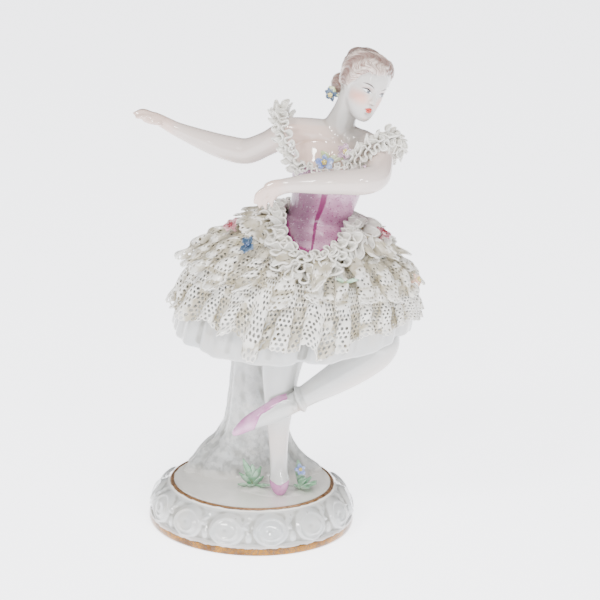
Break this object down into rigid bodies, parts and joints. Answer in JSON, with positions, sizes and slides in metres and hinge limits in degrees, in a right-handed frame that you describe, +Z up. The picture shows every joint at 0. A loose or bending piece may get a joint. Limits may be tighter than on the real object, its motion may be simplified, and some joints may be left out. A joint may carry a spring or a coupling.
{
  "type": "porcelain ballerina figurine",
  "caption": "Small glazed porcelain ballerina on pointe with one leg crossed in front, in a tutu of porcelain-lace frills, on a round relief plinth with a supporting stump.",
  "frame": {"origin": "centre of the plinth's flat underside", "axes": "+Z up along the plinth's axis, +Y away from the viewer who faces the dancer, +X towards the dancer's own left"},
  "size_m": [0.0898, 0.0686, 0.1503],
  "materials": {
    "glazed_porcelain": "glossy glaze",
    "porcelain_lace": "satin glaze",
    "pink_glaze": "glossy glaze",
    "blue_glaze": "glossy glaze",
    "coral_glaze": "glossy glaze",
    "green_glaze": "glossy glaze"
  },
  "bodies": {
    "root": {"plinth": "glazed_porcelain", "dancer": "glazed_porcelain", "lace_frill_bottom": "porcelain_lace", "lace_frill_middle": "porcelain_lace", "lace_frill_top": "porcelain_lace", "lace_strap_right": "porcelain_lace", "lace_strap_left": "porcelain_lace", "flower_pink_left": "pink_glaze", "flower_pink_right": "pink_glaze", "flower_blue": "blue_glaze", "flower_orange": "coral_glaze", "corsage_flower_blue": "blue_glaze", "corsage_flower_pink": "pink_glaze", "corsage_leaf": "green_glaze", "skirt_leaf": "green_glaze", "hair_flower": "blue_glaze", "leaves_left": "green_glaze", "leaves_right": "green_glaze"}
  },
  "joints": []
}
